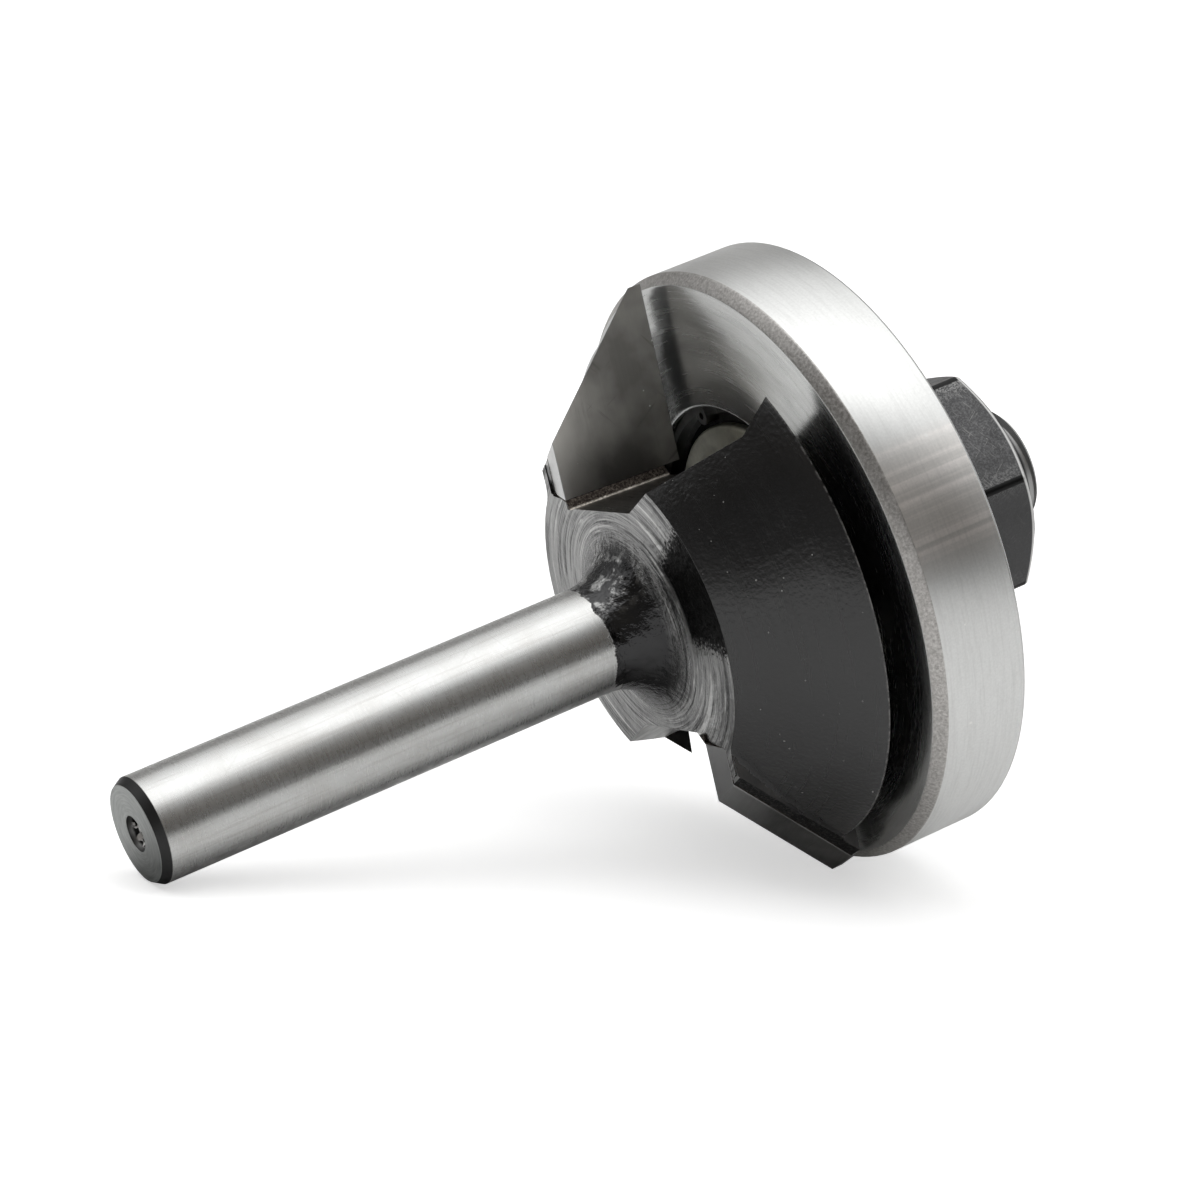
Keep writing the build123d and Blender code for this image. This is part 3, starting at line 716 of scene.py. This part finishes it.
def make_nut_finish(look):
    """Black oxide with dust and small scratches."""
    made = Finish("Black Oxide", look.oxide_color, 0.7, 0.36)
    tree = made.tree
    bit_place = place_in(tree)
    place, radius, station = bit_place["Place"], bit_place["Radius"], bit_place["Station"]
    cloud = noise(tree, place, 0.5, 4.0)
    grain = noise(tree, place, 8.0, 3.0, 0.7)
    scratch = group_mask(tree, "Scratches", Scale=3.0, Share=0.15)
    dust = group_mask(tree, "Specks", Scale=3.2, Share=0.4, Size=0.14)
    black = tuple(look.oxide_color)
    # Lighter on its upper side as painted light, where its worn corners, scratches and dust also lie; clean below
    upper_light_and_wear = span(tree, vector(tree, "DOT_PRODUCT", bit_place["Round"], UPPER_SIDE), 0.2, 0.5, 0.15, 1.0)
    light = calc(tree, "MULTIPLY", span(tree, grain, 0.42, 0.72), upper_light_and_wear)
    base = blend(tree, light, tuple(c * 1.15 for c in black), tuple(c * 2.8 for c in black))
    near_corner = span(tree, radius, NUT_CORNER_R - 0.41, NUT_CORNER_R - 0.01)
    wear_and_highlight = calc(tree, "MULTIPLY", near_corner, span(tree, grain, 0.45, 0.6))
    base = blend(tree, calc(tree, "MULTIPLY", wear_and_highlight, calc(tree, "MULTIPLY", upper_light_and_wear, 0.7)), base, (0.34, 0.34, 0.33))
    base = blend(tree, calc(tree, "MULTIPLY", scratch, calc(tree, "MULTIPLY", upper_light_and_wear, 0.5)), base, (0.26, 0.26, 0.25))
    base = blend(tree, calc(tree, "MULTIPLY", dust, upper_light_and_wear), base, (0.3, 0.3, 0.29))
    # Painted dark reflection along the nut's corners, a painted highlight line where its chamfer starts, and a painted
    # highlight on the stud's end
    base = blend(tree, span(tree, radius, NUT_CORNER_R, NUT_CORNER_R + 0.03), base, (0.008, 0.008, 0.008))
    chamfer = calc(tree, "MULTIPLY_ADD", radius, NUT_SLOPE, station)
    highlight_line = calc(tree, "MULTIPLY", span(tree, chamfer, CROWN_RISE - 0.22, CROWN_RISE - 0.14),
                span(tree, chamfer, CROWN_RISE - 0.05, CROWN_RISE - 0.02, 1.0, 0.0))
    highlight_line = calc(tree, "MULTIPLY", highlight_line, span(tree, radius, NUT_TOP_R + 0.03, NUT_TOP_R + 0.07))
    highlight_line = calc(tree, "MAXIMUM", highlight_line, span(tree, station, PILOT_END - PILOT_CHAMFER, PILOT_END - 0.5, 0.0, 0.6))
    made.set(Base_Color=blend(tree, highlight_line, base, (0.7, 0.7, 0.69)),
             Roughness=span(tree, cloud, 0.35, 0.7, 0.28, 0.46))
    made.bump(noise(tree, place, 4.0, 3.0), 0.006)
    return made.material


# Sizes and colours that a user would change


class ROUTERBIT_PG_finish(bpy.types.PropertyGroup):
    """Colours and gloss of the bit's finishes."""

    steel_color: FloatVectorProperty(
        name="Steel", description="Colour of the ground steel", subtype="COLOR", size=3,
        default=(0.655, 0.66, 0.65), min=0, max=1)
    lacquer_color: FloatVectorProperty(
        name="Lacquer", description="Colour of the lacquer on the head", subtype="COLOR", size=3,
        default=(0.004, 0.004, 0.0042), min=0, max=1)
    lacquer_roughness: FloatProperty(
        name="Lacquer Roughness", description="How dull the lacquer is on the cone", default=0.24, min=0.05, max=1)
    lacquer_edge: FloatProperty(
        name="Lacquer Edge", description="Station where the lacquer ends on the shank, in millimetres",
        default=29.35, min=20, max=32)
    lacquer_ragged: FloatProperty(
        name="Lacquer Raggedness", description="How far the lacquer's edge wanders, in millimetres",
        default=0.9, min=0, max=5)
    carbide_color: FloatVectorProperty(
        name="Carbide", description="Colour of the carbide tips", subtype="COLOR", size=3,
        default=(0.38, 0.37, 0.35), min=0, max=1)
    relief_color: FloatVectorProperty(
        name="Carbide Relief", description="Colour of the carbide's ground relief faces", subtype="COLOR", size=3,
        default=(0.25, 0.25, 0.25), min=0, max=1)
    oxide_color: FloatVectorProperty(
        name="Black Oxide", description="Colour of the nut and the stud", subtype="COLOR", size=3,
        default=(0.05, 0.05, 0.051), min=0, max=1)


class ROUTERBIT_PG_thread(bpy.types.PropertyGroup):
    """Thread of the stud beyond the nut."""

    pitch: FloatProperty(
        name="Pitch", description="Distance from one thread to the next", default=1.25 * MM, min=0.3 * MM,
        max=3 * MM, subtype="DISTANCE", unit="LENGTH", precision=5)
    root_radius: FloatProperty(
        name="Root Radius", description="Radius at the bottom of the thread", default=3.3 * MM, min=2 * MM,
        max=3.9 * MM, subtype="DISTANCE", unit="LENGTH", precision=5)
    steps: IntProperty(
        name="Steps", description="Segments in one turn of the thread", default=64, min=16, max=256)


class ROUTERBIT_PG_studio(bpy.types.PropertyGroup):
    """Light and camera of the studio."""

    light: FloatProperty(
        name="Light", description="Strength of the soft light all round", default=1.0, min=0, max=10)
    lift: FloatProperty(
        name="Floor Lift", description="How far the floor is lifted to white", default=0.55, min=0, max=2)
    lens: FloatProperty(
        name="Lens", description="Focal length on a 36 mm sensor", default=146.199, min=20, max=400,
        subtype="DISTANCE_CAMERA")


# Pieces


class ROUTERBIT_OT_cutter_body(bpy.types.Operator):
    """Cutter body: ground shank, lacquered head and ground relief behind the tips"""

    bl_idname = "routerbit.cutter_body"
    bl_label = "Cutter Body"

    def execute(self, context):
        look = context.scene.routerbit_finish
        piece = merged_copy("cutter_body", "Cutter_Body")
        # The stud's end goes to the threaded piece
        edit(piece, action="SELECT")
        bpy.ops.mesh.bisect(plane_co=SHANK_END + AXIS * THREAD_START * MM, plane_no=AXIS, clear_outer=True,
                            use_fill=True, threshold=1e-7)
        leave()

        def on_rim(*ends):
            places = [in_bit(end) for end in ends]
            return any(all(math.hypot(radius - rim[0], station - rim[1]) < 0.02 for radius, station in places)
                       for rim in ((HUB_R, HUB_FACE), (CONE_R, HEAD_REAR)))

        # The rims of the hub and the cone are slightly rounded
        edit_edges(piece, on_rim)
        bpy.ops.mesh.bevel(offset=0.07 * MM, segments=2, affect="EDGES")
        leave()

        def on_relief(radius, station, normal):
            return any(max(normal.dot(wing.bevel_normal), normal.dot(wing.land_normal)) > SAME_FACE for wing in WINGS)

        def on_end(radius, station, normal):
            ends = any(normal.dot(wing.end_normal) > SAME_FACE for wing in WINGS) and radius > HUB_R - 1
            return ends or any(normal.dot(wing.flank_normal) > 0.985 for wing in WINGS)

        def on_gullet(radius, station, normal):
            flat = abs(normal.dot(AXIS)) < 0.2 and HUB_FACE - 0.1 < station < SHOULDER
            return flat and any(normal.dot(wing.behind) < -0.2 or abs(normal.dot(wing.out)) > 0.9
                                for wing in WINGS) and radius < CUTTING_R - 0.5

        paint(piece, make_lacquer_finish(look))
        paint(piece, make_gullet_finish(look), on_gullet)
        paint(piece, make_shank_finish(look), lambda radius, station, normal: station < HUB_FACE + 0.02)
        paint(piece, make_relief_finish(), on_relief)
        paint(piece, make_end_finish(), on_end)
        paint(piece, make_nut_finish(look), lambda radius, station, normal: station > SHOULDER + 0.01)
        smooth(piece, 24)
        finish_piece(piece, "bit", "lacquered_steel", "cutter_body")
        return {"FINISHED"}


class ROUTERBIT_OT_stud_thread(bpy.types.Operator):
    """Threaded end of the stud, on which the nut is screwed"""

    bl_idname = "routerbit.stud_thread"
    bl_label = "Stud Thread"

    def execute(self, context):
        look = context.scene.routerbit_finish
        thread = context.scene.routerbit_thread
        front, end = THREAD_START * MM, PILOT_END * MM
        pitch, root, crest = thread.pitch, thread.root_radius, (PILOT_R - 0.01) * MM
        bpy.ops.object.select_all(action="DESELECT")
        # One thread's profile, wound up along the axis
        bpy.ops.mesh.primitive_plane_add(size=1)
        piece = context.active_object
        piece.name = "Stud_Thread"
        piece.data.name = "Stud_Thread"
        profile = [(root, 0), (root, 0.14), (crest, 0.44), (crest, 0.56), (root, 0.86), (root, 1.0)]
        points = [(radius, 0, front - 2 * pitch + share * pitch) for radius, share in profile]
        piece.data.clear_geometry()
        piece.data.from_pydata(points, [(n, n + 1) for n in range(len(points) - 1)], [])
        turns = math.ceil((end - front) / pitch) + 4
        use_modifier(piece, "SCREW", axis="Z", angle=2 * math.pi, screw_offset=pitch, iterations=turns,
                     steps=thread.steps, render_steps=thread.steps, use_merge_vertices=True,
                     merge_threshold=1e-7, use_smooth_shade=True)
        edit(piece)
        for height, keeps_above in ((front, True), (end, False)):
            bpy.ops.mesh.select_all(action="SELECT")
            bpy.ops.mesh.bisect(plane_co=(0, 0, height), plane_no=(0, 0, 1), clear_inner=keeps_above,
                                clear_outer=not keeps_above, use_fill=True, threshold=1e-8)
        bpy.ops.mesh.select_all(action="SELECT")
        bpy.ops.mesh.remove_doubles(threshold=1e-7)
        bpy.ops.mesh.normals_make_consistent(inside=False)
        leave()
        # Turned chamfer at the end
        bpy.ops.object.select_all(action="DESELECT")
        bpy.ops.mesh.primitive_cylinder_add(vertices=96, radius=crest, depth=end - front + 2 * MM,
                                            location=(0, 0, (front + end) / 2 - MM), end_fill_type="NGON")
        blank = context.active_object
        bpy.ops.object.transform_apply(location=True, rotation=False, scale=False)
        edit_edges(blank, lambda first, second: min(first.z, second.z) > end - 1e-6)
        bpy.ops.mesh.bevel(offset=PILOT_CHAMFER * MM, segments=1, affect="EDGES")
        leave()
        use_modifier(piece, "BOOLEAN", operation="INTERSECT", object=blank, solver="EXACT")
        bpy.data.objects.remove(blank)
        # The cut leaves slivers where thread and chamfer meet
        edit(piece, action="SELECT")
        bpy.ops.mesh.remove_doubles(threshold=1e-6)
        bpy.ops.mesh.dissolve_degenerate(threshold=1e-6)
        bpy.ops.mesh.delete_loose(use_verts=True, use_edges=True, use_faces=False)
        leave()
        piece.data.transform(BIT)
        smooth(piece, 30)
        paint(piece, make_nut_finish(look))
        finish_piece(piece, "bit", "black_oxide_steel")
        return {"FINISHED"}


class ROUTERBIT_OT_carbide_tips(bpy.types.Operator):
    """Carbide tips, ground on all their outer faces"""

    bl_idname = "routerbit.carbide_tips"
    bl_label = "Carbide Tips"

    def execute(self, context):
        look = context.scene.routerbit_finish
        bright = make_plain_steel("Ground Carbide End Highlight", (0.74, 0.74, 0.73), 0.3, 5.0, 0.003, 0.85)
        for index in range(2):
            piece = merged_copy(f"carbide_tip_{index + 1}", f"Carbide_{index + 1}")
            ease_edges(piece, 0.03, 1)
            paint(piece, make_carbide_finish("Carbide Relief", look.relief_color, index))
            paint(piece, make_carbide_finish("Carbide Rake", look.carbide_color, index),
                  lambda radius, station, normal: normal.dot(WINGS[index].behind) < -0.9)
            # Only the second tip's end is bright: a painted highlight
            if index:
                paint(piece, bright, lambda radius, station, normal: normal.dot(WINGS[1].end_normal) > 0.99)
            finish_piece(piece, "bit", "carbide", f"carbide_tip_{index + 1}")
        return {"FINISHED"}


class ROUTERBIT_OT_braze(bpy.types.Operator):
    """Silver solder round the carbide tips"""

    bl_idname = "routerbit.braze"
    bl_label = "Braze"

    def execute(self, context):
        for index in range(2):
            piece = merged_copy(f"braze_{index + 1}", f"Solder_{index + 1}")
            paint(piece, make_braze_finish(index))
            finish_piece(piece, "bit", "silver_solder", f"braze_{index + 1}")
        return {"FINISHED"}


class ROUTERBIT_OT_guide_collar(bpy.types.Operator):
    """Guide collar: ground rim, turned faces, rougher front bevel"""

    bl_idname = "routerbit.guide_collar"
    bl_label = "Guide Collar"

    def execute(self, context):
        look = context.scene.routerbit_finish
        piece = merged_copy("guide_collar", "Guide_Collar")
        ease_edges(piece, 0.07, 2, 30)
        paint(piece, make_collar_faces(look))
        paint(piece, make_collar_rim(look),
              lambda radius, station, normal: radius > CUTTING_R and abs(normal.dot(AXIS)) < 0.2)
        paint(piece, make_collar_bevel(),
              lambda radius, station, normal: radius > CUTTING_R - 1 and -0.95 < normal.dot(AXIS) < -0.2)
        smooth(piece, 24)
        finish_piece(piece, "collar", "ground_steel", "guide_collar")
        return {"FINISHED"}


class ROUTERBIT_OT_bearing(bpy.types.Operator):
    """Ball bearing with its seals, and the ring that keeps it in the collar"""

    bl_idname = "routerbit.bearing"
    bl_label = "Bearing"

    def execute(self, context):
        race = make_plain_steel("Bearing Race", (0.6, 0.6, 0.6), 0.2, 6.0, 0.002, 0.85)
        cage = make_plain_steel("Cage", (0.5, 0.47, 0.4), 0.35, 4.0, 0.004, 0.8)
        spring = make_plain_steel("Spring Steel", (0.2, 0.2, 0.19), 0.32, 5.0, 0.004, 0.6)
        rubber = make_seal_finish()
        pieces = [
            ("bearing_outer_race", "Outer_Race", "collar", "bearing_steel", race),
            ("bearing_inner_race", "Inner_Race", "bit", "bearing_steel", race),
            ("retaining_ring", "Retaining_Ring", "collar", "spring_steel", spring),
            ("seal_front", "Front_Seal", "collar", "seal_rubber", rubber),
            ("seal_rear", "Rear_Seal", "collar", "seal_rubber", rubber),
            ("bearing_cage", "Ball_Cage", "cage", "cage_steel", cage),
        ]
        pieces += [(f"bearing_ball_{n}", f"Ball_{n}", "cage", "ball_steel", race) for n in range(1, 8)]
        for node, name, body, slot, material in pieces:
            piece = merged_copy(node, name)
            if node.startswith("bearing_ball"):
                use_modifier(piece, "SUBSURF", levels=1, render_levels=1)
                smooth(piece, 60)
            else:
                smooth(piece, 24)
            paint(piece, material)
            finish_piece(piece, body, slot, node)
        return {"FINISHED"}


class ROUTERBIT_OT_washers(bpy.types.Operator):
    """Thrust washer, flat washer and split spring washer"""

    bl_idname = "routerbit.washers"
    bl_label = "Washers"

    def execute(self, context):
        plain = make_plain_steel("Washer Steel", (0.68, 0.67, 0.57), 0.36, 9.0, 0.008, 0.75)
        dark = make_plain_steel("Spring Washer Steel", (0.12, 0.12, 0.12), 0.34, 4.0, 0.004, 0.6)
        for node, name, slot, material in (
            ("thrust_washer", "Thrust_Washer", "washer_steel", plain),
            ("flat_washer", "Flat_Washer", "washer_steel", plain),
            ("spring_washer", "Spring_Washer", "spring_steel", dark),
        ):
            piece = merged_copy(node, name)
            if node == "thrust_washer":
                ease_edges(piece, 0.07, 2)
            smooth(piece, 24)
            paint(piece, material)
            finish_piece(piece, "bit", slot, node)
        return {"FINISHED"}


class ROUTERBIT_OT_lock_nut(bpy.types.Operator):
    """Hexagon nut in black oxide"""

    bl_idname = "routerbit.lock_nut"
    bl_label = "Lock Nut"

    def execute(self, context):
        piece = merged_copy("lock_nut", "Lock_Nut")
        ease_edges(piece, 0.2, 3, 40)
        smooth(piece, 30)
        paint(piece, make_nut_finish(context.scene.routerbit_finish))
        finish_piece(piece, "bit", "black_oxide_steel", "lock_nut")
        return {"FINISHED"}


class ROUTERBIT_OT_studio(bpy.types.Operator):
    """Pale floor and backdrop, a soft light all round, and the camera"""

    bl_idname = "routerbit.studio"
    bl_label = "Studio"

    def execute(self, context):
        studio = context.scene.routerbit_studio
        # Floor that curves up into a backdrop behind the bit
        bpy.ops.object.select_all(action="DESELECT")
        bpy.ops.mesh.primitive_plane_add(size=FLOOR_SIZE, location=(0, 0, 0))
        floor = context.active_object
        floor.name = "Studio_Sweep"
        edit_edges(floor, lambda first, second: min(first.y, second.y) > NEAR_BACK)
        bpy.ops.mesh.extrude_region_move(TRANSFORM_OT_translate={"value": (0, 0, BACKDROP_RISE)})
        leave()
        edit_edges(floor, lambda first, second: min(first.y, second.y) > NEAR_BACK and max(first.z, second.z) < 0.1)
        bpy.ops.mesh.bevel(offset=BACKDROP_CURVE, segments=24, affect="EDGES")
        leave()
        floor.data.transform(Matrix.Rotation(STAGE_TURN, 4, "Z"))
        smooth(floor, 30)
        white = Finish("Studio White", FLOOR_COLOR, 0.0, 0.6)
        # Seen directly the floor is white; in the bit's reflections it shows a painted shade over its front corner and
        # a painted shadow in a strip right under the bit
        tree = white.tree
        front_left = tuple(Matrix.Rotation(STAGE_TURN, 3, "Z") @ Vector((-0.8, -0.6, 0)))
        place = add(tree, "ShaderNodeTexCoord").outputs["Object"]
        depth = vector(tree, "DOT_PRODUCT", place, front_left)
        mirrored_painted_shade = blend(tree, span(tree, depth, 0.06, 0.085), (1.0, 1.0, 1.0), (0.2, 0.195, 0.19))
        aside = calc(tree, "ABSOLUTE", vector(tree, "DOT_PRODUCT", place, (0, 1, 0)))
        mirrored_painted_shade = blend(tree, span(tree, aside, 0.0, 0.006), (0.25, 0.25, 0.25), mirrored_painted_shade)
        seen = add(tree, "ShaderNodeLightPath").outputs["Is Camera Ray"]
        white.set(Base_Color=blend(tree, seen, mirrored_painted_shade, FLOOR_COLOR), Emission_Strength=1.0,
                  Emission_Color=blend(tree, seen, (0, 0, 0), (studio.lift, studio.lift, studio.lift)))
        floor.data.materials.append(white.material)
        self.light_world(context, studio)
        camera = bpy.data.objects.new("Camera", bpy.data.cameras.new("Camera"))
        context.scene.collection.objects.link(camera)
        camera.data.sensor_width = 36
        camera.data.lens = studio.lens
        camera.data.clip_start = 0.01
        camera.location = CAMERA_PLACE
        camera.rotation_euler = [math.radians(angle) for angle in CAMERA_ANGLES]
        context.scene.camera = camera
        context.scene.view_settings.view_transform = "Standard"
        return {"FINISHED"}

    def light_world(self, context, studio):
        """Light all round: bright overhead, dim behind the camera, pale behind the bit."""
        world = bpy.data.worlds.new("Studio Light")
        context.scene.world = world
        world.use_nodes = True
        tree = world.node_tree
        tree.nodes.clear()
        mapping = add(tree, "ShaderNodeMapping", vector_type="POINT")
        feed(tree, mapping, Vector=add(tree, "ShaderNodeTexCoord").outputs["Generated"],
             Rotation=(0, 0, -STAGE_TURN))
        parts = add(tree, "ShaderNodeSeparateXYZ")
        feed(tree, parts, i0=mapping.outputs[0])
        angle = calc(tree, "ARCTAN2", parts.outputs["Z"], calc(tree, "MULTIPLY", parts.outputs["Y"], -1.0))
        light = ramp(tree, calc(tree, "DIVIDE", angle, math.pi), *LIGHT_STOPS)
        # Dimmer towards the two sides
        fall = span(tree, calc(tree, "ABSOLUTE", parts.outputs["X"]), 0.3, 1.0, 1.0, 0.45)
        background = add(tree, "ShaderNodeBackground")
        feed(tree, background, Color=light, Strength=calc(tree, "MULTIPLY", fall, LIGHT_STRENGTH * studio.light))
        output = add(tree, "ShaderNodeOutputWorld")
        feed(tree, output, Surface=background.outputs[0])


PIECE_OPERATORS = (
    ROUTERBIT_OT_cutter_body,
    ROUTERBIT_OT_stud_thread,
    ROUTERBIT_OT_carbide_tips,
    ROUTERBIT_OT_braze,
    ROUTERBIT_OT_guide_collar,
    ROUTERBIT_OT_bearing,
    ROUTERBIT_OT_washers,
    ROUTERBIT_OT_lock_nut,
    ROUTERBIT_OT_studio,
)


class ROUTERBIT_PT_sidebar(bpy.types.Panel):
    """Lists the bit's pieces, finishes and studio."""

    bl_idname = "ROUTERBIT_PT_sidebar"
    bl_label = "Router Bit"
    bl_space_type = "VIEW_3D"
    bl_region_type = "UI"
    bl_category = "Router Bit"

    def draw(self, context):
        for group in ("routerbit_finish", "routerbit_thread", "routerbit_studio"):
            box = self.layout.box()
            settings = getattr(context.scene, group)
            for name in settings.bl_rna.properties.keys():
                if name not in ("rna_type", "name"):
                    box.prop(settings, name)
        for operator in PIECE_OPERATORS:
            self.layout.operator(operator.bl_idname)


GROUPS = {
    "routerbit_finish": ROUTERBIT_PG_finish,
    "routerbit_thread": ROUTERBIT_PG_thread,
    "routerbit_studio": ROUTERBIT_PG_studio,
}
CLASSES = (*GROUPS.values(), *PIECE_OPERATORS, ROUTERBIT_PT_sidebar)


def register():
    for cls in CLASSES:
        bpy.utils.register_class(cls)
    for name, group in GROUPS.items():
        setattr(bpy.types.Scene, name, PointerProperty(type=group))


def unregister():
    for name in GROUPS:
        delattr(bpy.types.Scene, name)
    for cls in reversed(CLASSES):
        bpy.utils.unregister_class(cls)


def main():
    register()
    for make_group in GROUP_MAKERS:
        make_group()
    for operator in PIECE_OPERATORS:
        family, name = operator.bl_idname.split(".")
        getattr(getattr(bpy.ops, family), name)()


if __name__ == "__main__":
    main()
